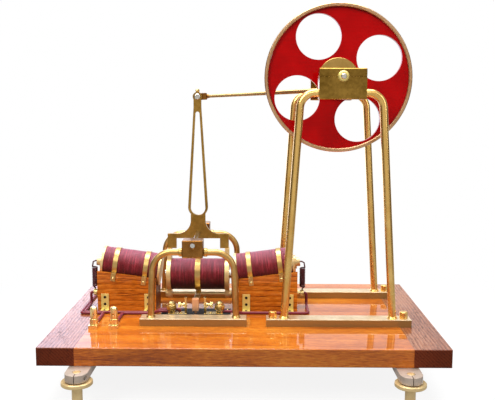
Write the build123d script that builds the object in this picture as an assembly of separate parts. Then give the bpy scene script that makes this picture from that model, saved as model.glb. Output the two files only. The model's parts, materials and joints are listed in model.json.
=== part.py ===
from build123d import *
import math
import os

# Bench model of a rocking-coil electric motor on a polished wooden board.
# Millimetres, X to the right, Y away from the front, Z up from the table.

# Shared fits
cut_overrun = 4.0
seat_gap = 0.1
shaft_gap = 0.05
moving_gap = 0.3

# Wooden board with cross-grained ends
board_length = 460.0
board_depth = 300.0
board_thick = 21.0
board_end_width = 42.0
board_edge_round = 1.2
board_clearance = 46.0

# Levelling feet in split clamps
foot_end_inset = 49.0
foot_reach = 17.0
foot_stud_radius = 4.5
foot_clamp_width = 25.0
foot_clamp_thick = 8.5
foot_clamp_tail = 60.0
foot_clamp_nose = 1.5
foot_clamp_slit = 0.9
foot_clamp_screw_radius = 2.3
foot_stud_edge = 0.7
foot_flange_radius = 17.25
foot_flange_thick = 4.7
foot_flange_drop = 1.0
foot_flange_edge = 0.8
foot_stem_radius = 5.8
foot_stem_flare = 3.4
foot_pad_radius = 10.0
foot_pad_thick = 5.0
foot_pad_rim_share = 0.6
foot_cove_width_share = 0.3
foot_cove_height_share = 0.4

# Bar plates under the frames
plate_width = 20.0
plate_thick = 9.0
plate_edge = 0.5
plate_front_y = -58.0
plate_back_y = 76.0
wheel_plate_length = 176.0
arch_plate_length = 130.0
plate_row_gap = 24.0
knob_radius = 5.0
knob_height = 8.0
knob_inset = 8.0
knob_edge = 1.2

# Tall frames that carry the flywheel
wheel_leg_radius = 4.75
wheel_foot_inset = 22.0
wheel_shoulder_spread = 48.2
wheel_shoulder_drop = 19.0
wheel_bend_radius = 18.0
bearing_width = 55.5
bearing_below = 26.5
bearing_above = 9.5
bearing_edge = 0.8
bearing_split_edge = 0.35
boss_radius = 6.75
boss_tip_radius = 4.8
boss_length = 5.0
boss_shoulder_share = 0.45
boss_brow_share = 0.85
leg_flare = 1.8
leg_flare_height = 2.2
leg_flare_top_share = 0.25

# Flywheel, hub and two-part crankshaft
shaft_radius = 3.25
shaft_tip = 1.5
rim_radial = 4.5
rim_width = 14.0
rim_front_y = -17.0
rim_edge = 0.9
web_thick = 6.0
web_hole_radius = 28.0
web_hole_pitch = 56.0
web_hole_count = 4
web_hole_angle = 26.0
web_land = 2.5
hub_radius = 25.0
hub_disc_thick = 4.0
hub_boss_radius = 9.0
hub_boss_length = 7.0
hub_edge = 0.7
crank_throw = 13.0
crank_lift = 9.5
crank_web_thick = 5.0
crank_shaft_end_radius = 9.0
crank_pin_end_radius = 7.0
crank_pin_radius = 3.5
crank_pin_proud = 1.0

# Low arches that carry the rocker
arch_end_inset = 167.0
pivot_height = 99.0
pivot_radius = 2.9
pivot_recess = 2.0
arch_leg_radius = 4.0
arch_foot_spread = 52.2
arch_shoulder_spread = 49.0
arch_shoulder_drop = 9.5
arch_bend_radius = 24.0
arch_block_width = 25.3
arch_block_below = 15.0
arch_block_above = 6.4
arch_block_edge = 0.8
counterbore_radius = 4.1
union_radius = 5.2
union_length = 5.0
union_edge = 1.4

# Slotted lever with its yoke, heights from the pivot
rocker_y = 26.0
lever_thick = 5.0
lever_length = 178.5
lever_eye_radius = 6.0
lever_top_half = 5.0
lever_head = 13.5
lever_low_half = 13.0
lever_low_height = 34.5
slot_top_half = 2.7
slot_head = 21.9
slot_low_half = 9.6
slot_low_height = 33.6
neck_half = 9.6
flare_radius = 18.0
yoke_half = 40.4
yoke_inner_half = 28.9
yoke_shoulder_drop = 1.0
yoke_opening_drop = 7.0
yoke_leg_drop = 20.3

# Swinging armature
armature_drop = 55.4
coil_radius = 20.7
armature_half = 35.4
cheek_thick = 5.6
cheek_radius = 21.5
cheek_tab_half = 7.0
cheek_foot_half = 6.0
core_radius = 6.0
core_half = 44.0
armature_strap_width = 7.0
strap_thick = 0.8
tie_drop = 82.3
tie_radius = 2.4
tie_nut_radius = 4.4
tie_half = 44.0
contact_arm_half = 3.5
contact_arm_height = 5.0
contact_arm_collar = 4.6
finger_half = 4.05
finger_y = -26.0
finger_depth = 7.5
finger_top = 23.5
finger_bottom = 8.0
finger_tip_radius = 1.6
finger_tip_drop = 3.2

# Top pin and connecting rod
top_pin_radius = 2.5
top_pin_head_radius = 4.0
top_pin_head = 2.0
top_pin_head_round = 1.5
rod_end_width = 8.4
rod_eye_radius = 4.9
rod_block_half = 4.4
rod_block_length = 12.0
rod_block_round = 1.4
rod_nose_length = 4.5
rod_small_radius = 2.0
rod_large_radius = 3.1
rod_big_radius = 8.5
rod_pad_half = 2.7
rod_pad_height = 5.6
oil_cup_radius = 2.8
oil_cup_neck = 2.2
oil_cup_height = 4.6
oil_cup_neck_share = 0.16
oil_cup_brim_share = 0.3
oil_cup_wall_share = 0.6
oil_cup_brow_share = 0.88
oil_cup_brow_width_share = 0.8
oil_cup_crown_width_share = 0.45

# Fixed coils in tilted cradles
coil_tilt = 7.5
coil_start = 42.6
coil_flange_thick = 3.0
coil_flange_radius = 21.5
coil_length = 78.0
coil_boss_length = 8.0
coil_boss_cap_radius = 9.0
coil_boss_cap = 3.0
cradle_half_depth = 24.0
cradle_inner = 54.0
cradle_outer = 130.6
cradle_top_drop = 8.7
cradle_pocket_gap = 0.5
strap_width = 6.0
strap_inset = 19.0
strap_foot = 10.0
bracket_width = 10.0
bracket_height = 22.0
bracket_foot = 10.5
bracket_thick = 1.6
bracket_inset = 5.0

# Switch under the armature
switch_half = 44.0
switch_front_y = -46.0
switch_back_y = 1.0
switch_thick = 3.0
contact_reach = 11.0
contact_thick = 2.6
contact_half_depth = 4.0
contact_height = 22.5
contact_foot_half = 5.0
contact_foot_thick = 2.2
contact_screw_height = 12.5
contact_screw_radius = 1.4
contact_screw_tip = 0.6
contact_screw_reach = 8.2
contact_lock_radius = 2.8
contact_lock = 2.0
contact_head_radius = 3.4
contact_head = 3.2
terminal_reach = 30.5
terminal_y = -26.0
terminal_radius = 6.0
terminal_collar_radius = 4.5
terminal_collar = 3.0
terminal_neck_radius = 3.0
terminal_neck = 1.5
terminal_nut = 6.0
terminal_height = 14.8

# Binding posts at the front left
post_reach = 118.8
post_pitch = 24.3
post_y = -74.0
post_base_width = 10.8
post_base_depth = 16.0
post_base_thick = 4.3
post_collar_radius = 5.1
post_collar_top = 11.0
post_radius = 4.3
post_height = 26.3
post_hole_radius = 1.3
post_hole_height = 17.0
post_dome_share = 0.7
post_brow_share = 0.3
post_crown_share = 0.06
post_brow_width_share = 0.85
post_crown_width_share = 0.5

# End terminals, pigtails and leads
end_terminal_height = 18.0
end_stud_radius = 2.0
end_stud_length = 10.0
end_collar_radius = 4.5
end_collar = 2.5
end_nut_radius = 4.2
end_nut_start = 5.0
end_nut = 4.6
pigtail_reach = 138.5
pigtail_radius = 3.0
pigtail_bottom = 26.0
pigtail_top = 53.0
wire_radius = 1.0
wire_bend = 2.6
lead_radius = 1.8
lead_bend = 5.0
lead_inner_y = -14.5
lead_pitch = 3.8
lead_turn = 5.0
lead_climb = 9.0
lead_ledge = 2.6

# Heights and planes worked out from the values above
board_top = board_clearance + board_thick
plate_top = board_top + plate_thick
pivot_z = board_top + pivot_height
shaft_z = pivot_z + lever_length + crank_lift + crank_throw
arch_x = arch_end_inset - board_length / 2
wheel_x = arch_x + arch_plate_length / 2 + plate_row_gap + wheel_plate_length / 2
wheel_foot_spread = wheel_plate_length / 2 - wheel_foot_inset
foot_spread = board_length / 2 - foot_end_inset
post_first_x = arch_x - post_reach
post_second_x = post_first_x + post_pitch
wheel_radius = web_hole_pitch + web_hole_radius + web_land + rim_radial
lever_top_height = lever_length - lever_head
slot_top_height = lever_length - slot_head
coil_radius_seat = coil_radius + seat_gap
lever_front_y = rocker_y - lever_thick / 2
lever_back_y = rocker_y + lever_thick / 2
rod_front_y = lever_back_y + moving_gap
rod_back_y = rod_front_y + rod_end_width
web_back_face = rod_front_y - crank_pin_proud - moving_gap
web_front_face = rod_back_y + crank_pin_proud + moving_gap
coil_end = coil_start + coil_length
swing_limit = math.degrees(math.asin(crank_throw / lever_length))


def span(x0, x1, y0, y1, z0, z1):
    middle = Pos((x0 + x1) / 2, (y0 + y1) / 2, (z0 + z1) / 2)
    return middle * Box(x1 - x0, y1 - y0, z1 - z0)


def rod_x(radius, x0, x1, y, z):
    return Pos((x0 + x1) / 2, y, z) * Rot(0, 90, 0) * Cylinder(radius, x1 - x0)


def rod_y(radius, x, y0, y1, z):
    return Pos(x, (y0 + y1) / 2, z) * Rot(90, 0, 0) * Cylinder(radius, y1 - y0)


def rod_z(radius, x, y, z0, z1):
    return Pos(x, y, (z0 + z1) / 2) * Cylinder(radius, z1 - z0)


def patch(a0, a1, b0, b1):
    return Pos((a0 + a1) / 2, (b0 + b1) / 2) * Rectangle(a1 - a0, b1 - b0)


def hull_of(first, second):
    return make_hull(first.edges() + second.edges())


def plate_xz(sketch, y0, thick):
    return Pos(0, y0 + thick, 0) * extrude(Plane.XZ * sketch, thick)


def plate_yz(sketch, x0, thick):
    return Pos(x0, 0, 0) * extrude(Plane.YZ * sketch, thick)


def turned(points):
    outline = make_face(Plane.XZ * Polyline(*points, close=True))
    return revolve(outline, Axis.Z)


def wire(points, bends, radius):
    path = FilletPolyline(*points, radius=bends)
    return sweep(Plane(origin=path @ 0, z_dir=path % 0) * Circle(radius), path=path)


def across(shape):
    return mirror(shape, about=Plane(origin=(arch_x, 0, 0), z_dir=(1, 0, 0)))


def from_pivot(shape):
    return Pos(arch_x, rocker_y, pivot_z) * shape


def tilted(shape):
    return Pos(arch_x, rocker_y, pivot_z) * Rot(0, -coil_tilt, 0) * shape


def save(name, *shapes):
    solids = []
    for shape in shapes:
        solids.extend(shape.solids())
    body = solids[0] if len(solids) == 1 else Compound(children=solids)
    export_step(body, f"parts/{name}.step")


os.makedirs("parts", exist_ok=True)

# Board and its two ends
panel_half = board_length / 2 - board_end_width
half_depth = board_depth / 2
panel = span(-panel_half, panel_half, -half_depth, half_depth, board_clearance, board_top)
panel = fillet(panel.edges().filter_by(Axis.X), board_edge_round)
save("base_panel", panel)
for name, side in (("base_end_left", -1), ("base_end_right", 1)):
    inner = side * panel_half
    outer = side * board_length / 2
    low, high = sorted((inner, outer))
    end = span(low, high, -half_depth, half_depth, board_clearance, board_top)
    end = fillet(end.edges().filter_by(Axis.X), board_edge_round)
    save(name, end)

# Split clamps with their levelling feet
clamp_low = board_clearance - foot_clamp_thick
flange_top = clamp_low - foot_flange_drop
flange_low = flange_top - foot_flange_thick
clamp_half = foot_clamp_width / 2
nose = Pos(0, -foot_clamp_nose) * Circle(clamp_half)
tail = patch(-clamp_half, clamp_half, -foot_clamp_nose, foot_clamp_tail)
bore = Circle(foot_stud_radius + seat_gap)
slit_end = -foot_clamp_nose - clamp_half - cut_overrun
slit = patch(-foot_clamp_slit / 2, foot_clamp_slit / 2, slit_end, 0)
clamp = Pos(0, 0, clamp_low) * extrude(nose + tail - bore - slit, foot_clamp_thick)
screw_y = -(foot_stud_radius + foot_clamp_screw_radius + seat_gap * 2)
screw_z = clamp_low + foot_clamp_thick / 2
clamp -= rod_x(foot_clamp_screw_radius, 0, foot_clamp_width, screw_y, screw_z)
flange_shoulder = foot_flange_radius - foot_flange_edge
cove_width = foot_stem_flare * foot_cove_width_share
cove_height = foot_stem_flare * foot_cove_height_share
foot = turned(
    [
        (0, 0),
        (foot_pad_radius, 0),
        (foot_pad_radius, foot_pad_thick * foot_pad_rim_share),
        (foot_stem_radius, foot_pad_thick + foot_stem_flare),
        (foot_stem_radius, flange_low - foot_stem_flare),
        (foot_stem_radius + cove_width, flange_low - cove_height),
        (foot_stem_radius + foot_stem_flare, flange_low),
        (flange_shoulder, flange_low),
        (foot_flange_radius, flange_low + foot_flange_edge),
        (foot_flange_radius, flange_top - foot_flange_edge),
        (flange_shoulder, flange_top),
        (foot_stud_radius, flange_top),
        (foot_stud_radius, board_clearance - foot_stud_edge),
        (foot_stud_radius - foot_stud_edge, board_clearance),
        (0, board_clearance),
    ]
)
foot_y = half_depth + foot_reach
clamps = []
feet = []
for x in (-foot_spread, foot_spread):
    for y, turn in ((-foot_y, 0), (foot_y, 180)):
        clamps.append(Pos(x, y, 0) * Rot(0, 0, turn) * clamp)
        feet.append(Pos(x, y, 0) * foot)
save("foot_clamps", *clamps)
save("levelling_feet", *feet)

# Bar plates and the round knobs that hold the long pair
plate_half = plate_width / 2
wheel_plates = []
arch_plates = []
knobs = []
for y in (plate_front_y, plate_back_y):
    for x, length, group in (
        (wheel_x, wheel_plate_length, wheel_plates),
        (arch_x, arch_plate_length, arch_plates),
    ):
        bar = span(x - length / 2, x + length / 2, y - plate_half, y + plate_half, board_top, plate_top)
        group.append(chamfer(bar.faces().sort_by(Axis.Z)[-1].edges(), plate_edge))
    for side in (-1, 1):
        knob_x = wheel_x + side * (wheel_plate_length / 2 - knob_inset)
        knob = rod_z(knob_radius, knob_x, y, plate_top, plate_top + knob_height)
        knobs.append(fillet(knob.edges().sort_by(Axis.Z)[-1:], knob_edge))
save("wheel_plates", *wheel_plates)
save("arch_plates", *arch_plates)
save("plate_knobs", *knobs)


def frame_leg(x, y, side, face, shoulder, foot, level, radius, bend):
    lean = (foot - shoulder) / (level - plate_top)
    start = (x + side * face, y, level)
    corner = (x + side * shoulder, y, level)
    end = (x + side * (foot + lean * cut_overrun), y, plate_top - cut_overrun)
    leg = wire([start, corner, end], bend, radius)
    leg = split(leg, bisect_by=Plane.XY.offset(plate_top), keep=Keep.TOP)
    flare = Cone(radius + leg_flare, radius + leg_flare * leg_flare_top_share, leg_flare_height)
    return leg + Pos(x + side * foot, y, plate_top + leg_flare_height / 2) * flare


# Tall frames: bent legs, split bearing blocks, caps and bosses
shoulder_z = shaft_z - wheel_shoulder_drop
bearing_half = bearing_width / 2
for name, y in (("wheel_legs_front", plate_front_y), ("wheel_legs_back", plate_back_y)):
    legs = []
    for side in (-1, 1):
        legs.append(
            frame_leg(
                wheel_x,
                y,
                side,
                bearing_half,
                wheel_shoulder_spread,
                wheel_foot_spread,
                shoulder_z,
                wheel_leg_radius,
                wheel_bend_radius,
            )
        )
    save(name, *legs)
bearings = []
caps = []
bosses = []
for y, out in ((plate_front_y, -1), (plate_back_y, 1)):
    low_x = wheel_x - bearing_half
    high_x = wheel_x + bearing_half
    front = y - plate_half
    back = y + plate_half
    bore = rod_y(shaft_radius + shaft_gap, wheel_x, front - cut_overrun, back + cut_overrun, shaft_z)
    block = span(low_x, high_x, front, back, shaft_z - bearing_below, shaft_z)
    block = chamfer(block.faces().sort_by(Axis.Z)[0].edges(), bearing_edge)
    block = chamfer(block.faces().sort_by(Axis.Z)[-1].edges(), bearing_split_edge)
    cap = span(low_x, high_x, front, back, shaft_z, shaft_z + bearing_above)
    cap = chamfer(cap.faces().sort_by(Axis.Z)[-1].edges(), bearing_edge)
    cap = chamfer(cap.faces().sort_by(Axis.Z)[0].edges(), bearing_split_edge)
    bearings.append(block - bore)
    caps.append(cap - bore)
    boss = turned(
        [
            (shaft_radius + shaft_gap, 0),
            (boss_radius, 0),
            (boss_radius, boss_length * boss_shoulder_share),
            ((boss_radius + boss_tip_radius) / 2, boss_length * boss_brow_share),
            (boss_tip_radius, boss_length),
            (shaft_radius + shaft_gap, boss_length),
        ]
    )
    face = y + out * plate_half
    bosses.append(Pos(wheel_x, face, shaft_z) * Rot(-out * 90, 0, 0) * boss)
save("wheel_bearings", *bearings)
save("wheel_caps", *caps)
save("bearing_bosses", *bosses)

# Low arches: bent tubes, pivot blocks and ball unions
arch_level = pivot_z - arch_shoulder_drop
arch_half = arch_block_width / 2
blocks = []
unions = []
for name, y, out in (
    ("arch_tubes_front", plate_front_y, -1),
    ("arch_tubes_back", plate_back_y, 1),
):
    tubes = []
    front = y - plate_half
    back = y + plate_half
    block = span(
        arch_x - arch_half,
        arch_x + arch_half,
        front,
        back,
        pivot_z - arch_block_below,
        pivot_z + arch_block_above,
    )
    block = chamfer(block.edges(), arch_block_edge)
    block -= rod_y(pivot_radius + shaft_gap, arch_x, front - cut_overrun, back + cut_overrun, pivot_z)
    mouth = sorted((y + out * (plate_half - pivot_recess), y + out * (plate_half + cut_overrun)))
    block -= rod_y(counterbore_radius, arch_x, mouth[0], mouth[1], pivot_z)
    blocks.append(block)
    for side in (-1, 1):
        tubes.append(
            frame_leg(
                arch_x,
                y,
                side,
                arch_half,
                arch_shoulder_spread,
                arch_foot_spread,
                arch_level,
                arch_leg_radius,
                arch_bend_radius,
            )
        )
        ends = sorted((arch_x + side * arch_half, arch_x + side * (arch_half + union_length)))
        ball = rod_x(union_radius, ends[0], ends[1], y, arch_level)
        ball = fillet(ball.edges().filter_by(GeomType.CIRCLE), union_edge)
        unions.append(ball - rod_x(arch_leg_radius + seat_gap, ends[0], ends[1], y, arch_level))
    save(name, *tubes)
save("arch_blocks", *blocks)
save("arch_unions", *unions)

# Flywheel: painted web, brass rim and clamping hub
rim_back_y = rim_front_y + rim_width
web_y = rim_front_y + (rim_width - web_thick) / 2
rim_inner = wheel_radius - rim_radial
web = Circle(rim_inner - seat_gap) - Circle(shaft_radius + seat_gap)
web -= PolarLocations(web_hole_pitch, web_hole_count, web_hole_angle) * Circle(web_hole_radius)
save("flywheel_web", Pos(wheel_x, 0, shaft_z) * plate_xz(web, web_y, web_thick))
rim = plate_xz(Circle(wheel_radius) - Circle(rim_inner), rim_front_y, rim_width)
rim = chamfer(rim.edges().filter_by(GeomType.CIRCLE), rim_edge)
save("flywheel_rim", Pos(wheel_x, 0, shaft_z) * rim)
hubs = []
web_middle = web_y + web_thick / 2
for out in (-1, 1):
    hub = turned(
        [
            (shaft_radius + seat_gap, 0),
            (hub_radius, 0),
            (hub_radius, hub_disc_thick - hub_edge),
            (hub_radius - hub_edge, hub_disc_thick),
            (hub_boss_radius, hub_disc_thick),
            (hub_boss_radius, hub_disc_thick + hub_boss_length - hub_edge),
            (hub_boss_radius - hub_edge, hub_disc_thick + hub_boss_length),
            (shaft_radius + seat_gap, hub_disc_thick + hub_boss_length),
        ]
    )
    hubs.append(Pos(wheel_x, web_middle + out * web_thick / 2, shaft_z) * Rot(-out * 90, 0, 0) * hub)
save("flywheel_hub", *hubs)

# Crankshaft in two halves, joined in the machine by the pin
throw = hull_of(Circle(crank_shaft_end_radius), Pos(0, -crank_throw) * Circle(crank_pin_end_radius))
front_web = Pos(wheel_x, 0, shaft_z) * plate_xz(throw, web_back_face - crank_web_thick, crank_web_thick)
back_web = Pos(wheel_x, 0, shaft_z) * plate_xz(throw, web_front_face, crank_web_thick)
front_tip = plate_front_y - plate_half - boss_length - shaft_tip
back_tip = plate_back_y + plate_half + boss_length + shaft_tip
front_shaft = rod_y(shaft_radius, wheel_x, front_tip, web_back_face - crank_web_thick, shaft_z)
front_shaft = chamfer(front_shaft.edges().sort_by(Axis.Y)[:1], shaft_tip / 2)
back_shaft = rod_y(shaft_radius, wheel_x, web_front_face + crank_web_thick, back_tip, shaft_z)
back_shaft = chamfer(back_shaft.edges().sort_by(Axis.Y)[-1:], shaft_tip / 2)
save("crankshaft", front_shaft + front_web, back_shaft + back_web)

# Slotted lever with its yoke
lever = hull_of(
    Pos(0, lever_top_height) * Circle(lever_top_half),
    Pos(0, lever_low_height) * Circle(lever_low_half),
)
lever += patch(-lever_top_half, lever_top_half, lever_top_height, lever_length)
lever += Pos(0, lever_length) * Circle(lever_eye_radius)
lever += patch(-neck_half, neck_half, -yoke_opening_drop, lever_low_height - neck_half)
flare_half = neck_half + flare_radius
flare_top = flare_radius - yoke_shoulder_drop
lever += patch(-flare_half, flare_half, -yoke_opening_drop, flare_top)
for side in (-1, 1):
    lever -= Pos(side * flare_half, flare_top) * Circle(flare_radius)
lever += patch(-yoke_half, yoke_half, -yoke_opening_drop, -yoke_shoulder_drop)
for side in (-1, 1):
    legs = sorted((side * yoke_inner_half, side * yoke_half))
    lever += patch(legs[0], legs[1], -yoke_leg_drop, -yoke_shoulder_drop)
lever -= hull_of(
    Pos(0, slot_top_height) * Circle(slot_top_half),
    Pos(0, slot_low_height) * Circle(slot_low_half),
)
lever -= Circle(pivot_radius + seat_gap)
lever -= Pos(0, lever_length) * Circle(top_pin_radius + seat_gap)
save("rocker_lever", from_pivot(plate_xz(lever, -lever_thick / 2, lever_thick)))
shaft_front = plate_front_y - plate_half + pivot_recess
shaft_back = plate_back_y + plate_half - pivot_recess
save("rocker_shaft", rod_y(pivot_radius, arch_x, shaft_front, shaft_back, pivot_z))

# Armature coil between its two cheeks
cheek = Pos(0, -armature_drop) * Circle(cheek_radius)
cheek += patch(-cheek_tab_half, cheek_tab_half, -armature_drop, -yoke_leg_drop)
cheek += patch(-cheek_foot_half, cheek_foot_half, -tie_drop, -armature_drop)
cheek += Pos(0, -tie_drop) * Circle(cheek_foot_half)
cheek -= Pos(0, -armature_drop) * Circle(core_radius + seat_gap)
cheek -= Pos(0, -tie_drop) * Circle(tie_radius + seat_gap)
right_cheek = from_pivot(plate_yz(cheek, armature_half, cheek_thick))
save("armature_cheeks", right_cheek, across(right_cheek))
core = rod_x(core_radius, -core_half, core_half, 0, -armature_drop)
save("armature_core", from_pivot(core))
winding = Circle(coil_radius) - Circle(core_radius + seat_gap)
winding = Pos(0, -armature_drop) * winding
save("armature_winding", from_pivot(plate_yz(winding, -armature_half, armature_half * 2)))
band = Circle(coil_radius_seat + strap_thick) - Circle(coil_radius_seat)
band = Pos(0, -armature_drop) * band
save(
    "armature_strap",
    from_pivot(plate_yz(band, -armature_strap_width / 2, armature_strap_width)),
)
tie = rod_x(tie_radius, -tie_half, tie_half, 0, -tie_drop)
for side in (-1, 1):
    nut = sorted((side * (armature_half + cheek_thick), side * tie_half))
    tie += rod_x(tie_nut_radius, nut[0], nut[1], 0, -tie_drop)
save("tie_rod", from_pivot(tie))

# Contact arm and copper finger under the armature
tie_z = pivot_z - tie_drop
finger_back_y = finger_y + finger_depth / 2
arm_low = tie_z - contact_arm_height / 2
arm_high = tie_z + contact_arm_height / 2
arm = span(arch_x - contact_arm_half, arch_x + contact_arm_half, finger_back_y, rocker_y, arm_low, arm_high)
arm += rod_x(contact_arm_collar, arch_x - contact_arm_half, arch_x + contact_arm_half, rocker_y, tie_z)
arm -= rod_x(tie_radius + seat_gap, arch_x - tie_half, arch_x + tie_half, rocker_y, tie_z)
save("contact_arm", arm)
finger = span(
    arch_x - finger_half,
    arch_x + finger_half,
    finger_back_y - finger_depth,
    finger_back_y,
    board_top + finger_bottom,
    board_top + finger_top,
)
tip_low = board_top + finger_bottom - finger_tip_drop
finger += rod_z(finger_tip_radius, arch_x, finger_y, tip_low, board_top + finger_bottom)
save("contact_finger", finger)

# Pin at the top of the lever
top_z = pivot_z + lever_length
pin = rod_y(top_pin_radius, arch_x, lever_front_y, rod_back_y + moving_gap, top_z)
head = rod_y(top_pin_head_radius, arch_x, lever_front_y - top_pin_head, lever_front_y, top_z)
pin += fillet(head.edges().filter_by(GeomType.CIRCLE).sort_by(Axis.Y)[:1], top_pin_head_round)
washer_y = rod_back_y + moving_gap
pin += rod_y(top_pin_head_radius, arch_x, washer_y, washer_y + top_pin_head, top_z)
save("top_pin", pin)

# Connecting rod, oil cup and crank pin
crank_z = shaft_z - crank_throw
rod_length = math.hypot(wheel_x - arch_x, crank_z - top_z)
rod_rise = math.degrees(math.atan2(crank_z - top_z, wheel_x - arch_x))
rod_half = rod_end_width / 2
block = span(0, rod_block_length, -rod_half, rod_half, -rod_block_half, rod_block_half)
block = fillet(block.faces().sort_by(Axis.X)[-1].edges(), rod_block_round)
rod = block + rod_y(rod_eye_radius, 0, -rod_half, rod_half, 0)
rod += span(-rod_pad_half, rod_pad_half, -rod_pad_half, rod_pad_half, 0, rod_pad_height)
big_start = rod_length - rod_big_radius
shank_length = big_start - rod_block_length
shank_middle = (rod_block_length + big_start) / 2
rod += Pos(shank_middle, 0, 0) * Rot(0, 90, 0) * Cone(rod_small_radius, rod_large_radius, shank_length)
nose_middle = rod_block_length + rod_nose_length / 2
nose_radius = rod_half - rod_block_round
rod += Pos(nose_middle, 0, 0) * Rot(0, 90, 0) * Cone(nose_radius, rod_small_radius, rod_nose_length)
nose_middle = big_start - rod_nose_length / 2
rod += Pos(nose_middle, 0, 0) * Rot(0, 90, 0) * Cone(rod_large_radius, rod_half, rod_nose_length)
rod += span(big_start, rod_length, -rod_half, rod_half, -rod_half, rod_half)
rod += rod_y(rod_big_radius, rod_length, -rod_half, rod_half, 0)
rod -= rod_y(top_pin_radius + shaft_gap, 0, -rod_end_width, rod_end_width, 0)
rod -= rod_y(crank_pin_radius + seat_gap, rod_length, -rod_end_width, rod_end_width, 0)
place = Pos(arch_x, rod_front_y + rod_half, top_z) * Rot(0, -rod_rise, 0)
save("connecting_rod", place * rod)
cup = turned(
    [
        (0, 0),
        (oil_cup_neck, 0),
        (oil_cup_neck, oil_cup_height * oil_cup_neck_share),
        (oil_cup_radius, oil_cup_height * oil_cup_brim_share),
        (oil_cup_radius, oil_cup_height * oil_cup_wall_share),
        (oil_cup_radius * oil_cup_brow_width_share, oil_cup_height * oil_cup_brow_share),
        (oil_cup_radius * oil_cup_crown_width_share, oil_cup_height),
        (0, oil_cup_height),
    ]
)
save("oil_cup", place * Pos(0, 0, rod_pad_height) * cup)
save(
    "crank_pin",
    rod_y(crank_pin_radius, wheel_x, rod_front_y - crank_pin_proud, rod_back_y + crank_pin_proud, crank_z),
)

# Fixed coils: bobbin, winding and straps in the tilted frame
bobbin = rod_x(core_radius, coil_start, coil_end + coil_boss_length, 0, -armature_drop)
for start in (coil_start, coil_end - coil_flange_thick):
    bobbin += rod_x(coil_flange_radius, start, start + coil_flange_thick, 0, -armature_drop)
bobbin += rod_x(coil_boss_cap_radius, coil_end, coil_end + coil_boss_cap, 0, -armature_drop)
right_bobbin = tilted(bobbin)
save("bobbin_right", right_bobbin)
save("bobbin_left", across(right_bobbin))
wound = Pos(0, -armature_drop) * (Circle(coil_radius) - Circle(core_radius + seat_gap))
wound_start = coil_start + coil_flange_thick
wound_length = coil_length - coil_flange_thick * 2
right_wound = tilted(plate_yz(wound, wound_start, wound_length))
save("winding_right", right_wound)
save("winding_left", across(right_wound))
ledge = -armature_drop - cradle_top_drop
reach = coil_radius * 2
strap = Circle(coil_radius_seat + strap_thick) - Circle(coil_radius_seat)
strap = Pos(0, -armature_drop) * strap & patch(-reach, reach, ledge, 0)
seat_half = math.sqrt(coil_radius_seat**2 - cradle_top_drop**2)
face_half = cradle_half_depth
for side in (-1, 1):
    flat = sorted((side * (seat_half + strap_thick / 2), side * (face_half + strap_thick)))
    strap += patch(flat[0], flat[1], ledge, ledge + strap_thick)
    drop = sorted((side * face_half, side * (face_half + strap_thick)))
    strap += patch(drop[0], drop[1], ledge - strap_foot, ledge + strap_thick)
right_straps = []
for middle in (coil_start + strap_inset, coil_end - strap_inset):
    right_straps.append(tilted(plate_yz(strap, middle - strap_width / 2, strap_width)))
save("straps_right", *right_straps)
save("straps_left", *[across(band) for band in right_straps])

# Oak cradles with pockets for the bobbin flanges
slope = math.tan(math.radians(coil_tilt))
level = (armature_drop + cradle_top_drop) / math.cos(math.radians(coil_tilt))
foot_drop = -pivot_height
side_view = make_face(
    Polyline(
        (cradle_inner, foot_drop),
        (cradle_outer, foot_drop),
        (cradle_outer, cradle_outer * slope - level),
        (cradle_inner, cradle_inner * slope - level),
        close=True,
    )
)
cradle = from_pivot(plate_xz(side_view, -cradle_half_depth, cradle_half_depth * 2))
groove_start = coil_start - cut_overrun * 2
groove_end = coil_end + coil_boss_length + cut_overrun * 2
cradle -= tilted(rod_x(coil_radius_seat, groove_start, groove_end, 0, -armature_drop))
pocket = coil_flange_radius + cradle_pocket_gap
inner_edge = coil_start + coil_flange_thick + cradle_pocket_gap
outer_edge = coil_end - coil_flange_thick - cradle_pocket_gap
cradle -= tilted(rod_x(pocket, groove_start, inner_edge, 0, -armature_drop))
cradle -= tilted(rod_x(pocket, outer_edge, groove_end, 0, -armature_drop))
save("cradle_right", cradle)
save("cradle_left", across(cradle))

# Angle brackets at the cradle corners
brackets = []
for start in (cradle_inner + bracket_inset, cradle_outer - bracket_inset - bracket_width):
    low_x = arch_x + start
    high_x = low_x + bracket_width
    for side in (-1, 1):
        face = rocker_y + side * cradle_half_depth
        skin = sorted((face, face + side * bracket_thick))
        toe = sorted((face, face + side * bracket_foot))
        leaf = span(low_x, high_x, skin[0], skin[1], board_top, board_top + bracket_height)
        leaf += span(low_x, high_x, toe[0], toe[1], board_top, board_top + bracket_thick)
        brackets.append(leaf)
        brackets.append(across(leaf))
save("cradle_brackets", *brackets)

# Ebonite switch plate with contact posts and knurled terminals
switch_top = board_top + switch_thick
switch = span(
    arch_x - switch_half,
    arch_x + switch_half,
    switch_front_y,
    switch_back_y,
    board_top,
    switch_top,
)
save("switch_base", switch)
post_in = arch_x + contact_reach
contact = span(
    post_in,
    post_in + contact_thick,
    finger_y - contact_half_depth,
    finger_y + contact_half_depth,
    switch_top,
    switch_top + contact_height,
)
foot_out = arch_x + terminal_reach + terminal_collar_radius
contact += span(
    post_in,
    foot_out,
    finger_y - contact_foot_half,
    finger_y + contact_foot_half,
    switch_top,
    switch_top + contact_foot_thick,
)
post_out = post_in + contact_thick
screw_end = post_out + contact_screw_reach
screw_z = switch_top + contact_screw_height
contact += rod_x(contact_screw_radius, post_in - contact_screw_tip, screw_end, finger_y, screw_z)
contact += rod_x(contact_lock_radius, post_out, post_out + contact_lock, finger_y, screw_z)
contact += rod_x(contact_head_radius, screw_end - contact_head, screw_end, finger_y, screw_z)
save("contact_posts", contact, across(contact))
neck_top = terminal_collar + terminal_neck
nut_top = neck_top + terminal_nut
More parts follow.
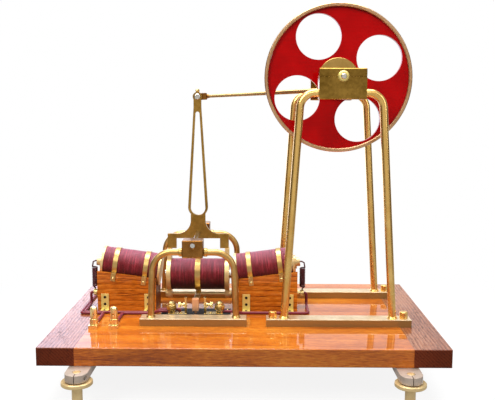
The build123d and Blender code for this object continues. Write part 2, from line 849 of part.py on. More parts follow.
terminal = turned(
    [
        (0, 0),
        (terminal_collar_radius, 0),
        (terminal_collar_radius, terminal_collar),
        (terminal_neck_radius, terminal_collar),
        (terminal_neck_radius, neck_top),
        (terminal_radius, neck_top),
        (terminal_radius, nut_top),
        (terminal_collar_radius, nut_top),
        (terminal_collar_radius, (nut_top + terminal_height) / 2),
        (terminal_neck_radius, terminal_height),
        (0, terminal_height),
    ]
)
terminal_seat = switch_top + contact_foot_thick
right_terminal = Pos(arch_x + terminal_reach, terminal_y, terminal_seat) * terminal
save("switch_terminals", right_terminal, across(right_terminal))

# Binding posts with their cross holes
posts = []
for x in (post_first_x, post_second_x):
    post = span(
        x - post_base_width / 2,
        x + post_base_width / 2,
        post_y - post_base_depth / 2,
        post_y + post_base_depth / 2,
        board_top,
        board_top + post_base_thick,
    )
    stem = turned(
        [
            (0, 0),
            (post_collar_radius, 0),
            (post_collar_radius, post_collar_top),
            (post_radius, post_collar_top),
            (post_radius, post_height - post_radius * post_dome_share),
            (post_radius * post_brow_width_share, post_height - post_radius * post_brow_share),
            (post_radius * post_crown_width_share, post_height - post_radius * post_crown_share),
            (0, post_height),
        ]
    )
    post += Pos(x, post_y, board_top) * stem
    hole_z = board_top + post_hole_height
    post -= rod_y(post_hole_radius, x, post_y - post_base_depth, post_y + post_base_depth, hole_z)
    posts.append(post)
save("binding_posts", *posts)

# Terminals on the outer ends of the cradles
end_x = arch_x + cradle_outer
end_z = board_top + end_terminal_height
end_terminal = rod_x(end_stud_radius, end_x, end_x + end_stud_length, rocker_y, end_z)
end_terminal += rod_x(end_collar_radius, end_x, end_x + end_collar, rocker_y, end_z)
nut_x = end_x + end_nut_start
end_terminal += rod_x(end_nut_radius, nut_x, nut_x + end_nut, rocker_y, end_z)
save("end_terminals", end_terminal, across(end_terminal))

# Curled pigtails from the coil bosses to the end terminals
tilt = math.radians(coil_tilt)
boss_end = coil_end + coil_boss_length
boss_x = arch_x + boss_end * math.cos(tilt) + armature_drop * math.sin(tilt)
boss_z = pivot_z + boss_end * math.sin(tilt) - armature_drop * math.cos(tilt)
curl_x = arch_x + pigtail_reach
curl_top = board_top + pigtail_top
curl_low = board_top + pigtail_bottom
pigtail = rod_z(pigtail_radius, curl_x, rocker_y, curl_low, curl_top)
upper = [(curl_x, rocker_y, curl_top), (curl_x, rocker_y, boss_z), (boss_x + moving_gap, rocker_y, boss_z)]
pigtail += wire(upper, wire_bend, wire_radius)
pigtail += rod_z(wire_radius, curl_x, rocker_y, end_z + end_nut_radius + moving_gap, curl_low)
save("pigtails", pigtail, across(pigtail))

# Leads laid on the board
lead_z = board_top + lead_radius
ledge_z = switch_top + lead_radius + lead_ledge / 2
outer_y = lead_inner_y - lead_pitch
tip_x = arch_x - cradle_outer - end_stud_length - moving_gap
inner_x = tip_x - lead_turn + lead_radius
outer_x = inner_x - lead_pitch
switch_left = arch_x - switch_half
foot_x = (arch_x - contact_reach - terminal_reach + arch_x) / 2
foot_edge = finger_y + contact_foot_half + moving_gap
coil_lead = wire(
    [
        (tip_x, rocker_y, end_z),
        (inner_x, rocker_y, end_z),
        (inner_x, rocker_y, lead_z),
        (inner_x, lead_inner_y, lead_z),
        (switch_left - lead_climb, lead_inner_y, lead_z),
        (switch_left - lead_radius, lead_inner_y, ledge_z),
        (foot_x, lead_inner_y, ledge_z),
        (foot_x, foot_edge, ledge_z),
    ],
    [wire_bend, lead_bend, lead_bend, lead_bend, lead_bend, lead_turn / 2],
    lead_radius,
)
post_back = post_y + post_base_depth / 2
frame_lead = wire(
    [
        (post_first_x, post_back, lead_z),
        (post_first_x, outer_y, lead_z),
        (outer_x, outer_y, lead_z),
        (outer_x, plate_back_y, lead_z),
        (arch_x - arch_plate_length / 2, plate_back_y, lead_z),
    ],
    lead_bend,
    lead_radius,
)
terminal_edge = terminal_reach + terminal_collar_radius + moving_gap
feed_z = terminal_seat + lead_radius
feed_lead = wire(
    [
        (post_second_x, post_back, lead_z),
        (post_second_x, outer_y, lead_z),
        (switch_left - lead_climb - lead_turn, outer_y, lead_z),
        (switch_left - lead_radius, terminal_y, feed_z),
        (arch_x - terminal_edge, terminal_y, feed_z),
    ],
    [lead_bend, lead_bend, lead_turn / 2],
    lead_radius,
)
switch_right = arch_x + switch_half
right_tip = end_x + end_stud_length + moving_gap
right_turn = right_tip + lead_turn - lead_radius
right_lead = wire(
    [
        (arch_x + terminal_edge, terminal_y, feed_z),
        (switch_right + lead_radius, terminal_y, feed_z),
        (switch_right + lead_climb + lead_turn, lead_inner_y, lead_z),
        (right_turn, lead_inner_y, lead_z),
        (right_turn, rocker_y, lead_z),
        (right_turn, rocker_y, end_z),
        (right_tip, rocker_y, end_z),
    ],
    [lead_turn / 2, lead_bend, lead_bend, lead_bend, wire_bend],
    lead_radius,
)
save("leads", coil_lead, frame_lead, feed_lead, right_lead)

print(f"swing of the lever either way: {swing_limit:.3f} degrees")
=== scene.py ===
import bpy
import json
import math
import random
from functools import partial
from mathutils import Matrix, Vector


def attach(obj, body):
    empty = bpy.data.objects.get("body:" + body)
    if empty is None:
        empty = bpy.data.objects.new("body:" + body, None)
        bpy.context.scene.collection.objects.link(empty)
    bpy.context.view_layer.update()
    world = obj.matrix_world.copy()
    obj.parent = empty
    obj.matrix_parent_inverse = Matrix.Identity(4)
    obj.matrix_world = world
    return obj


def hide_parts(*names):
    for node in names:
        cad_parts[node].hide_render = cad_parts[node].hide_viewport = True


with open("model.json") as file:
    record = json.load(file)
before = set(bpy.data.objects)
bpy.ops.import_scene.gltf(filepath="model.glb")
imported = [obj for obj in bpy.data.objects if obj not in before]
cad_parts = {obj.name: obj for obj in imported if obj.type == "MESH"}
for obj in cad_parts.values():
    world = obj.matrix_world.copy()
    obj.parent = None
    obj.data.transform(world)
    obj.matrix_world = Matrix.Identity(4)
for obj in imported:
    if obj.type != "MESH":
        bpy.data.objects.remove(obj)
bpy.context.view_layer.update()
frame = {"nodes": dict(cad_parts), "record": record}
nodes = frame["nodes"]
MM = 0.001

# Places on the object, in millimetres; drops and starts are from the rocker's pivot
BOARD_TOP = 67.0
PIVOT = Vector((-63.0, 26.0, 166.0))
SHAFT = Vector((114.0, 0.0, 367.0))
COIL_DROP = 55.4
COIL_RADIUS = 20.7
COIL_TILT = 7.5
COIL_START = 45.6
COIL_WOUND = 72.0
ARMATURE_WOUND = 70.8
WIRE_RADIUS = 0.52
WIRE_UNEVENNESS = 0.5
LINK_START = 14.0
LINK_END = 12.0
SWITCH_Y = -26.0
TERMINAL_HEIGHT = 18.0

# A Mix node's colour sockets: its two inputs and its output
COLOUR_A, COLOUR_B, COLOUR_MIX = 6, 7, 2


# Colours and graphs

def hue(code):
    """An sRGB hex code as linear light."""
    parts = [int(code[i:i + 2], 16) / 255 for i in (1, 3, 5)]
    return tuple(p / 12.92 if p <= 0.04045 else ((p + 0.055) / 1.055) ** 2.4 for p in parts) + (1.0,)


def add_node(tree, kind, inputs=None, give=0, stops=(), **settings):
    """Add a node with its settings, colour stops and links. Returns the output that give names."""
    node = tree.nodes.new(kind)
    for key, value in settings.items():
        setattr(node, key, value)
    for i, (place, colour) in enumerate(stops):
        element = node.color_ramp.elements[i] if i < 2 else node.color_ramp.elements.new(place)
        element.position = place
        element.color = colour
    for key, value in (inputs or {}).items():
        for item in value if isinstance(value, list) else [value]:
            if isinstance(item, bpy.types.NodeSocket):
                tree.links.new(item, node.inputs[key])
            else:
                node.inputs[key].default_value = item
    return node.outputs[give] if node.outputs else None


def material(name):
    """A new material, the function that adds a node to it, and the place on the object in metres."""
    made = bpy.data.materials.new(name)
    made.use_nodes = True
    made.node_tree.nodes.clear()
    add = partial(add_node, made.node_tree)
    return made, add, add("ShaderNodeTexCoord", give="Object")


def metal(name, bright, dull, rough, stain, brushed=(1, 1, 1), fine_mm=0.5, film=0.0, painted_side_shade=None):
    """Worked metal: handling stain, polishing lines, corners rubbed bright and a dull film of old lacquer.

    rough: roughness of clean and of stained metal. stain: strength of the dull patches.
    brushed: how far the polishing lines stretch along X, Y and Z. fine_mm: their width.
    film: share of lacquer. The last argument gives painted shade: the colour of the faces that don't look up.
    """
    made, add, place = material(name)
    corner_mm, line_depth_mm = 0.45, 0.006
    patterns = []
    for size_mm, detail, ragged, stretch in (
        (24, 4.0, 0.62, (1, 1, 1)),  # handling stains
        (4.5, 4.0, 0.65, (1, 1, 1)),  # spots
        (fine_mm, 2.0, 0.5, brushed),  # polishing lines, drawn coarser than real ones so that they show
    ):
        mapped = add("ShaderNodeMapping", {"Vector": place, "Scale": tuple(1 / share for share in stretch)})
        values = {"Vector": mapped, "Scale": 1 / (size_mm * MM), "Detail": detail, "Roughness": ragged}
        patterns.append(add("ShaderNodeTexNoise", values))
    stains, spots, lines = patterns

    # Corners, where the rounded normal leaves the flat one
    soft = add("ShaderNodeBevel", {"Radius": corner_mm * MM}, samples=4)
    flat = add("ShaderNodeNewGeometry", give="Normal")
    along = add("ShaderNodeVectorMath", {0: soft, 1: flat}, "Value", operation="DOT_PRODUCT")
    turned = add("ShaderNodeMath", {0: 1.0, 1: along}, operation="SUBTRACT")
    corner = add("ShaderNodeMath", {0: turned, 1: 4.0}, operation="MULTIPLY", use_clamp=True)
    rubbed = add("ShaderNodeMath", {0: corner, 1: 0.7}, operation="MULTIPLY")

    # Stain
    large = add("ShaderNodeMath", {0: stains, 1: 0.65}, operation="MULTIPLY")
    small = add("ShaderNodeMath", {0: spots, 1: 0.35}, operation="MULTIPLY")
    dirt = add("ShaderNodeMath", {0: large, 1: small}, operation="ADD")
    dirt = add("ShaderNodeMapRange", {"Value": dirt, "From Min": 0.36, "From Max": 0.66})
    dulled = add("ShaderNodeMath", {0: dirt, 1: stain}, operation="MULTIPLY")
    values = {"Factor": dulled, COLOUR_A: hue(bright), COLOUR_B: hue(dull)}
    colour = add("ShaderNodeMix", values, COLOUR_MIX, data_type="RGBA")
    # Painted shade: faces that don't look up, such as the plates' sides, take the darker side colour
    if painted_side_shade:
        normal = add("ShaderNodeTexCoord", give="Normal")
        up = add("ShaderNodeSeparateXYZ", {"Vector": normal}, "Z")
        level = add("ShaderNodeMath", {0: up}, operation="ABSOLUTE")
        values = {"Factor": level, COLOUR_A: hue(painted_side_shade), COLOUR_B: colour}
        colour = add("ShaderNodeMix", values, COLOUR_MIX, data_type="RGBA")
    values = {"Factor": rubbed, COLOUR_A: colour, COLOUR_B: hue(bright)}
    colour = add("ShaderNodeMix", values, COLOUR_MIX, data_type="RGBA")

    stained = add("ShaderNodeMath", {0: dirt, 1: 0.6}, operation="MULTIPLY")
    lined = add("ShaderNodeMath", {0: lines, 1: 0.4}, operation="MULTIPLY")
    worn = add("ShaderNodeMath", {0: stained, 1: lined}, operation="ADD")
    values = {"Height": lines, "Strength": 0.5, "Distance": line_depth_mm * MM, "Normal": soft}
    surface = add("ShaderNodeBsdfPrincipled", {
        "Base Color": colour,
        "Metallic": 1.0 - film,
        "Roughness": add("ShaderNodeMapRange", {"Value": worn, "To Min": rough[0], "To Max": rough[1]}),
        "Normal": add("ShaderNodeBump", values),
    })
    add("ShaderNodeOutputMaterial", {"Surface": surface})
    return made


def wood(name, tones, pore, along, figure, gloss, pores, end):
    """Varnished wood whose grain runs along one axis.

    tones: dark, middle and pale wood. pore: colour of the pores. end: colour of sawn end grain.
    figure: ring spacing in millimetres, how far rings wander and how dark they are.
    gloss: weight and roughness of the polish. pores: strength, size in millimetres and stretch.
    """
    made, add, place = material(name)
    ring_mm, wander, depth = figure
    strength, pore_mm, reach = pores
    coat, polish = gloss
    pore_depth_mm = 0.03
    patterns = []
    for size_mm, detail, ragged, stretch in (
        (ring_mm * 5, 2.0, 0.5, 4.0),  # wandering of the rings
        (42, 2.0, 0.5, 3.0),  # broad patches
        (0.9, 4.0, 0.7, 12.0),  # fibres, drawn coarser than real ones so that they show
        (pore_mm, 2.0, 0.5, reach),  # pores
        (1.6, 2.0, 0.5, 11.0),  # breaks in the polish along the rings
    ):
        scale = tuple(1 / stretch if axis == along else 1.0 for axis in "XYZ")
        mapped = add("ShaderNodeMapping", {"Vector": place, "Scale": scale})
        values = {"Vector": mapped, "Scale": 1 / (size_mm * MM), "Detail": detail, "Roughness": ragged}
        patterns.append(add("ShaderNodeTexNoise", values))
    drift, patches, fibres, spots, broken = patterns

    # Rings, each rising from dark to pale
    axes = add("ShaderNodeSeparateXYZ", {"Vector": place}).node.outputs
    first, second = [axes[axis] for axis in "XYZ" if axis != along]
    across = add("ShaderNodeMath", {0: first, 1: second}, operation="ADD")
    count = add("ShaderNodeMath", {0: across, 1: ring_mm * MM}, operation="DIVIDE")
    shift = add("ShaderNodeMath", {0: drift, 1: wander}, operation="MULTIPLY")
    layer = add("ShaderNodeMath", {0: count, 1: shift}, operation="ADD")
    part = add("ShaderNodeMath", {0: layer}, operation="FRACT")
    ring = add("ShaderNodeMath", {0: part, 1: 0.6}, operation="POWER")

    # Long grain
    fine = add("ShaderNodeMath", {0: fibres, 1: 0.62}, operation="MULTIPLY")
    broad = add("ShaderNodeMath", {0: patches, 1: 0.38}, operation="MULTIPLY")
    plain = add("ShaderNodeMath", {0: fine, 1: broad}, operation="ADD")
    centred = add("ShaderNodeMath", {0: ring, 1: 0.62}, operation="SUBTRACT")
    shade = add("ShaderNodeMath", {0: centred, 1: depth}, operation="MULTIPLY")
    grain = add("ShaderNodeMath", {0: plain, 1: shade}, operation="ADD")
    stops = [(0.34, hue(tones[0])), (0.66, hue(tones[2])), (0.5, hue(tones[1]))]
    colour = add("ShaderNodeValToRGB", {"Fac": grain}, stops=stops)

    # End grain and pores
    normal = add("ShaderNodeTexCoord", give="Normal")
    facing = add("ShaderNodeSeparateXYZ", {"Vector": normal}, along)
    square = add("ShaderNodeMath", {0: facing}, operation="ABSOLUTE")
    sawn = add("ShaderNodeMath", {0: square, 1: 0.85}, operation="MULTIPLY")
    values = {"Factor": grain, COLOUR_A: hue(pore), COLOUR_B: hue(end)}
    sawn_colour = add("ShaderNodeMix", values, COLOUR_MIX, data_type="RGBA")
    values = {"Factor": sawn, COLOUR_A: colour, COLOUR_B: sawn_colour}
    colour = add("ShaderNodeMix", values, COLOUR_MIX, data_type="RGBA")
    spots = add("ShaderNodeMapRange", {"Value": spots, "From Min": 0.57, "From Max": 0.68})
    open_pores = add("ShaderNodeMath", {0: spots, 1: strength}, operation="MULTIPLY")
    values = {"Factor": open_pores, COLOUR_A: colour, COLOUR_B: hue(pore)}
    colour = add("ShaderNodeMix", values, COLOUR_MIX, data_type="RGBA")

    # Polish, thin in pores, on sawn ends and in broken lines along the rings
    values = {"Value": broken, "From Min": 0.38, "From Max": 0.62, "To Max": depth * 2.1}
    broken = add("ShaderNodeMapRange", values)
    hollow = add("ShaderNodeMapRange", {"Value": ring, "From Min": 0.7, "From Max": 0.45})
    furrow = add("ShaderNodeMath", {0: hollow, 1: broken}, operation="MULTIPLY")
    dry = add("ShaderNodeMath", {0: sawn, 1: furrow}, operation="MAXIMUM")
    dry = add("ShaderNodeMath", {0: dry, 1: open_pores}, operation="MAXIMUM")
    covered = add("ShaderNodeMath", {0: 1.0, 1: dry}, operation="SUBTRACT")
    level = add("ShaderNodeMath", {0: 1.0, 1: spots}, operation="SUBTRACT")
    surface = add("ShaderNodeBsdfPrincipled", {
        "Base Color": colour,
        "Roughness": 0.5,
        "Specular IOR Level": 0.1,
        "Coat Weight": add("ShaderNodeMath", {0: covered, 1: coat}, operation="MULTIPLY"),
        "Coat Roughness": polish,
        "Coat IOR": 1.45,
        "Normal": add("ShaderNodeBump", {"Height": level, "Strength": 0.4, "Distance": pore_depth_mm * MM}),
    })
    add("ShaderNodeOutputMaterial", {"Surface": surface})
    return made


# Drawn brass rod of the tall legs, polished lengthwise: warm, with long soft highlights
ROD_BRASS = metal("drawn_brass_rod", "#F6CE80", "#C8963F", (0.20, 0.34), 0.6, (1, 1, 20))
# Bent tube of the arches, satin and browned by handling
ARCH_BRASS = metal("satin_arch_brass", "#D4AE6C", "#946830", (0.28, 0.40), 0.7)
# Sawn brass of the bearing blocks, old polish gone olive and cloudy
BLOCK_BRASS = metal("aged_block_brass", "#A88540", "#664A14", (0.15, 0.32), 0.95)
# The pivot blocks and rod ends, browner
PIVOT_BRASS = metal("browned_pivot_brass", "#A8743A", "#6E4418", (0.18, 0.34), 0.8)
# Bar brass of the plates, wire-brushed to a pale satin, with painted shade: the faces that don't look up are
# coloured browner
BAR_BRASS = metal(
    "satin_bar_brass", "#F0DCBC", "#B89868", (0.28, 0.40), 0.7, (16, 1, 1), film=0.25, painted_side_shade="#A88A54"
)
# Sheet brass of the straps, satin
SHEET_BRASS = metal("satin_sheet_brass", "#D4B474", "#A07E40", (0.28, 0.42), 0.6)
# Brackets and bearing bosses, wiped with fine emery to a pale satin
FITTING_BRASS = metal("emeried_fitting_brass", "#F8E690", "#DCC468", (0.38, 0.52), 0.5, film=0.4)
# Terminals, contacts and oil cup, buffed bright
BUFFED_BRASS = metal("buffed_fitting_brass", "#F6E0A0", "#CCA654", (0.20, 0.32), 0.5)
# Binding posts, buffed under a thin old lacquer
POST_BRASS = metal("lacquered_post_brass", "#FFE9A8", "#D8B25C", (0.14, 0.26), 0.5, film=0.12)
# Lever plate, drawfiled along its length and tarnished
LEVER_BRASS = metal("drawfiled_lever_brass", "#C0984E", "#7A5820", (0.24, 0.40), 0.8, (1, 1, 18), 0.7)
# Turned brass of the feet, bobbins, armature cheeks and tie rod, pale and satin
PALE_BRASS = metal("satin_turned_brass", "#F2D8A2", "#CAA66A", (0.34, 0.48), 0.6, film=0.32)
# Cast clamps, bead-blasted and greyed
CLAMP_BRASS = metal("blasted_clamp_brass", "#CCBCAE", "#A4968A", (0.44, 0.58), 0.7, film=0.35)
# Wheel rim, turned and warm
RIM_BRASS = metal("turned_rim_brass", "#D8B088", "#A67A52", (0.28, 0.40), 0.7)
# Turned hub discs and unions, faced in the lathe
HUB_BRASS = metal("faced_hub_brass", "#D0AC66", "#A07C3C", (0.24, 0.36), 0.5)
# Connecting rod, drawn and pale
LINK_BRASS = metal("pale_drawn_link", "#B89E6E", "#806642", (0.26, 0.38), 0.6, (20, 1, 1))
# Oil-blacked steel of the bracket screws
BLACKED = metal("oil_blacked_steel", "#3C332B", "#1C1612", (0.30, 0.46), 0.8)
# Bright steel of shafts and pins
STEEL = metal("bright_steel", "#E4E4E2", "#B8B8B6", (0.14, 0.26), 0.6)
# Bright copper of the contact finger
COPPER = metal("bright_copper", "#FFC498", "#F4AC7C", (0.30, 0.44), 0.6, film=0.35)
# French-polished hardwood panel, honey orange
PANEL = wood(
    "french_polished_panel", ("#823808", "#BA600C", "#D68628"), "#5E2408", "X",
    figure=(34, 2.2, 0.10), gloss=(1.0, 0.04), pores=(0.5, 0.6, 18), end="#8A4414",
)
# The same timber on the cross-grained ends, rose brown with straight open grain and dark sawn ends;
# its grain lines are drawn coarser than real ones so that they show
ENDS = wood(
    "rose_brown_ends", ("#5E2C16", "#86492A", "#A06844"), "#240C04", "Y",
    figure=(4.0, 1.1, 0.26), gloss=(0.84, 0.12), pores=(0.65, 1.3, 7), end="#7A2606",
)
# Varnished oak of the cradles, orange with wavy dark figure
OAK = wood(
    "varnished_oak", ("#803A08", "#CC6C14", "#E69234"), "#501C05", "X",
    figure=(7.0, 3.0, 0.18), gloss=(0.6, 0.05), pores=(0.75, 0.8, 26), end="#703208",
)


def red_enamel():
    """Brushed gloss enamel with slight unevenness."""
    made, add, place = material("red_gloss_enamel")
    cloud_mm, stroke_depth_mm = 34, 0.03
    # Brush strokes, drawn coarser than real ones so that they show
    stroke_mm, stroke_stretch = 2.0, 9
    cloud = add("ShaderNodeTexNoise", {
        "Vector": place, "Scale": 1 / (cloud_mm * MM), "Detail": 3.0, "Roughness": 0.5,
    })
    mapped = add("ShaderNodeMapping", {"Vector": place, "Scale": (1 / stroke_stretch, 1.0, 1.0)})
    strokes = add("ShaderNodeTexNoise", {
        "Vector": mapped, "Scale": 1 / (stroke_mm * MM), "Detail": 3.0, "Roughness": 0.6,
    })
    clouded = add("ShaderNodeMath", {0: cloud, 1: 0.7}, operation="MULTIPLY")
    brushed = add("ShaderNodeMath", {0: strokes, 1: 0.3}, operation="MULTIPLY")
    tone = add("ShaderNodeMath", {0: clouded, 1: brushed}, operation="ADD")
    stops = [(0.35, hue("#AC0004")), (0.65, hue("#C60408"))]
    values = {"Height": strokes, "Strength": 0.4, "Distance": stroke_depth_mm * MM}
    surface = add("ShaderNodeBsdfPrincipled", {
        "Base Color": add("ShaderNodeValToRGB", {"Fac": tone}, stops=stops),
        "Roughness": add("ShaderNodeMapRange", {"Value": strokes, "To Min": 0.10, "To Max": 0.20}),
        "Specular IOR Level": 0.12,
        "Normal": add("ShaderNodeBump", values),
    })
    add("ShaderNodeOutputMaterial", {"Surface": surface})
    return made


def cotton(name, tones, sheen, turns, painted_sheen_and_shade):
    """Cotton covering: matt fibres, with a pale painted sheen on faces that look up and painted shade on
    faces that look down.

    tones: dark, middle and pale thread. turns: how much each turn of thread differs in tone.
    """
    made, add, place = material(name)
    # Tufts of fibre, drawn coarser than real ones so that they show
    tuft_mm, tuft_depth_mm = 0.6, 0.10
    tufts = add("ShaderNodeTexNoise", {
        "Vector": place, "Scale": 1 / (tuft_mm * MM), "Detail": 4.0, "Roughness": 0.7,
    })
    strand = add("ShaderNodeAttribute", give="Fac", attribute_name="strand")
    fluffy = add("ShaderNodeMath", {0: tufts, 1: 1.0 - turns}, operation="MULTIPLY")
    striped = add("ShaderNodeMath", {0: strand, 1: turns}, operation="MULTIPLY")
    tone = add("ShaderNodeMath", {0: fluffy, 1: striped}, operation="ADD")
    stops = [(0.25, hue(tones[0])), (0.75, hue(tones[2])), (0.5, hue(tones[1]))]
    colour = add("ShaderNodeValToRGB", {"Fac": tone}, stops=stops)
    normal = add("ShaderNodeTexCoord", give="Normal")
    up = add("ShaderNodeSeparateXYZ", {"Vector": normal}, "Z")
    # Painted light: a pale lilac sheen painted on faces that look up, and near-black shade painted on faces
    # that look down
    for start, end, most, tint in ((0.3, 1.0, painted_sheen_and_shade, "#B87C98"), (0.1, -0.6, painted_sheen_and_shade * 2.3, "#0C0102")):
        share = add("ShaderNodeMapRange", {"Value": up, "From Min": start, "From Max": end, "To Max": most})
        values = {"Factor": share, COLOUR_A: colour, COLOUR_B: hue(tint)}
        colour = add("ShaderNodeMix", values, COLOUR_MIX, data_type="RGBA")
    surface = add("ShaderNodeBsdfPrincipled", {
        "Base Color": colour,
        "Roughness": 0.48,
        "Sheen Weight": sheen,
        "Sheen Roughness": 0.45,
        "Sheen Tint": hue("#E8B4CC"),
        "Normal": add("ShaderNodeBump", {"Height": tufts, "Strength": 0.6, "Distance": tuft_depth_mm * MM}),
    })
    add("ShaderNodeOutputMaterial", {"Surface": surface})
    return made


def ebonite():
    """Polished hard rubber, slate black."""
    made, add, place = material("polished_ebonite")
    cloud_mm = 12
    cloud = add("ShaderNodeTexNoise", {
        "Vector": place, "Scale": 1 / (cloud_mm * MM), "Detail": 3.0, "Roughness": 0.5,
    })
    values = {"Factor": cloud, COLOUR_A: hue("#08090B"), COLOUR_B: hue("#121316")}
    surface = add("ShaderNodeBsdfPrincipled", {
        "Base Color": add("ShaderNodeMix", values, COLOUR_MIX, data_type="RGBA"),
        "Roughness": add("ShaderNodeMapRange", {"Value": cloud, "To Min": 0.42, "To Max": 0.55}),
        "Specular IOR Level": 0.12,
    })
    add("ShaderNodeOutputMaterial", {"Surface": surface})
    return made


ENAMEL = red_enamel()
# Crimson cotton over the magnet wire, with a silky sheen, and painted into its colour a pale sheen on top and
# shade below
WINDING = cotton("crimson_cotton_winding", ("#1C0204", "#7E0818", "#C84858"), 0.22, 0.6, 0.42)
# Dark red cotton of the leads
LEAD = cotton("dark_red_cotton_lead", ("#46060E", "#741626", "#96384A"), 0.15, 0.0, 0.0)
# Cotton of the pigtails, older and nearly black
PIGTAIL = cotton("blackened_cotton_pigtail", ("#1E0206", "#4A0814", "#70202E"), 0.15, 0.0, 0.0)
EBONITE = ebonite()

# What each material slot looks like, and the nodes that have a finish of their own
looks = {
    "brass": ROD_BRASS,
    "steel": STEEL,
    "board_wood": PANEL,
    "board_end_wood": ENDS,
    "cradle_wood": OAK,
    "red_paint": ENAMEL,
    "cotton_winding": WINDING,
    "lead_cover": LEAD,
    "ebonite": EBONITE,
    "copper": COPPER,
}
special = {
    ARCH_BRASS: ("arch_tubes_front", "arch_tubes_back"),
    BLOCK_BRASS: ("wheel_bearings", "wheel_caps"),
    PIVOT_BRASS: ("arch_blocks", "connecting_rod"),
    BAR_BRASS: ("wheel_plates", "arch_plates"),
    LEVER_BRASS: ("rocker_lever",),
    SHEET_BRASS: ("straps_left", "straps_right", "armature_strap"),
    FITTING_BRASS: ("cradle_brackets", "bearing_bosses"),
    BUFFED_BRASS: ("switch_terminals", "contact_posts", "contact_arm", "end_terminals", "oil_cup"),
    POST_BRASS: ("binding_posts",),
    PALE_BRASS: ("levelling_feet", "bobbin_left", "bobbin_right", "armature_cheeks", "tie_rod"),
    CLAMP_BRASS: ("foot_clamps",),
    RIM_BRASS: ("flywheel_rim",),
    HUB_BRASS: ("flywheel_hub", "arch_unions"),
}
finish = {name: look for look, names in special.items() for name in names}
for entry in frame["record"]["subparts"]:
    node = nodes[entry["node"]]
    node.data.materials.clear()
    node.data.materials.append(finish.get(entry["node"], looks[entry["material_slot"]]))

# The connecting rod is pale between its browned end blocks
link = nodes["connecting_rod"].data
link.materials.append(LINK_BRASS)
for polygon in link.polygons:
    if PIVOT.x + LINK_START < polygon.center.x / MM < SHAFT.x - LINK_END:
        polygon.material_index = 1


# Geometry Nodes pieces

def geometry_group(name, inputs):
    """A geometry group with named inputs, the function that adds a node to it, and its inputs."""
    tree = bpy.data.node_groups.new(name, "GeometryNodeTree")
    tree.interface.new_socket("Geometry", in_out="INPUT", socket_type="NodeSocketGeometry")
    for label, kind in inputs:
        tree.interface.new_socket(label, in_out="INPUT", socket_type="NodeSocket" + kind)
    tree.interface.new_socket("Geometry", in_out="OUTPUT", socket_type="NodeSocketGeometry")
    add = partial(add_node, tree)
    return tree, add, add("NodeGroupInput").node.outputs


def grown(name, mesh, tree, values):
    """A plain mesh object made by running a geometry group on a mesh."""
    seed = bpy.data.objects.new(name + "_seed", mesh)
    bpy.context.scene.collection.objects.link(seed)
    modifier = seed.modifiers.new("grow", "NODES")
    modifier.node_group = tree
    for item in tree.interface.items_tree:
        if item.in_out == "INPUT" and item.name in values:
            modifier[item.identifier] = values[item.name]
    graph = bpy.context.evaluated_depsgraph_get()
    graph.update()
    made = bpy.data.meshes.new_from_object(seed.evaluated_get(graph))
    made.name = name
    bpy.data.objects.remove(seed)
    piece = bpy.data.objects.new(name, made)
    bpy.context.scene.collection.objects.link(piece)
    return piece


def winding_group():
    """Turns of covered wire, slightly uneven, over an inner layer in the same cover."""
    tree, add, given = geometry_group("wound_coil", [
        ("Length", "Float"),
        ("Radius", "Float"),
        ("Wire", "Float"),
        ("Unevenness", "Float"),
        ("Seed", "Float"),
        ("Cover", "Material"),
    ])
    # Wavers to a metre along the coil, changes of tone to a metre of wire, and the wavers' middle
    wavers, tone_changes, middle = 210.0, 24.0, (0.5, 0.5, 0.62)
    inner = add("ShaderNodeMath", {0: given["Radius"], 1: given["Wire"]}, operation="SUBTRACT")
    pitch = add("ShaderNodeMath", {0: given["Wire"], 1: 2.0}, operation="MULTIPLY")
    spiral = add("GeometryNodeCurveSpiral", {
        "Resolution": 60,
        "Rotations": add("ShaderNodeMath", {0: given["Length"], 1: pitch}, operation="DIVIDE"),
        "Start Radius": inner,
        "End Radius": inner,
        "Height": add("ShaderNodeMath", {0: given["Length"], 1: pitch}, operation="SUBTRACT"),
    })
    values = {"Vector": add("GeometryNodeInputPosition"), "W": given["Seed"], "Scale": wavers, "Detail": 2.0}
    wobble = add("ShaderNodeTexNoise", values, "Color", noise_dimensions="4D")
    centred = add("ShaderNodeVectorMath", {0: wobble, 1: middle}, operation="SUBTRACT")
    scaled = add("ShaderNodeVectorMath", {0: centred, "Scale": given["Unevenness"]}, operation="SCALE")
    shaken = add("GeometryNodeSetPosition", {"Geometry": spiral, "Offset": scaled})
    step = add("ShaderNodeCombineXYZ", {"Z": given["Wire"]})
    lifted = add("GeometryNodeTransform", {"Geometry": shaken, "Translation": step})
    run = add("GeometryNodeSplineParameter", give="Length")
    values = {"W": run, "Scale": tone_changes, "Detail": 2.0, "Roughness": 0.7}
    tones = add("ShaderNodeTexNoise", values, noise_dimensions="1D")
    values = {"Geometry": lifted, "Name": "strand", "Value": tones}
    marked = add("GeometryNodeStoreNamedAttribute", values, data_type="FLOAT", domain="POINT")
    values = {"Resolution": 6, "Radius": given["Wire"]}
    section = add("GeometryNodeCurvePrimitiveCircle", values, mode="RADIUS")
    values = {"Curve": marked, "Profile Curve": section, "Fill Caps": True}
    wire = add("GeometryNodeCurveToMesh", values)
    values = {"Vertices": 64, "Radius": inner, "Depth": given["Length"]}
    core = add("GeometryNodeMeshCylinder", values, "Mesh")
    half = add("ShaderNodeMath", {0: given["Length"], 1: 0.5}, operation="MULTIPLY")
    step = add("ShaderNodeCombineXYZ", {"Z": half})
    raised = add("GeometryNodeTransform", {"Geometry": core, "Translation": step})
    both = add("GeometryNodeJoinGeometry", {0: [wire, raised]})
    smooth = add("GeometryNodeSetShadeSmooth", {"Geometry": both})
    covered = add("GeometryNodeSetMaterial", {"Geometry": smooth, "Material": given["Cover"]})
    add("NodeGroupOutput", {0: covered})
    return tree


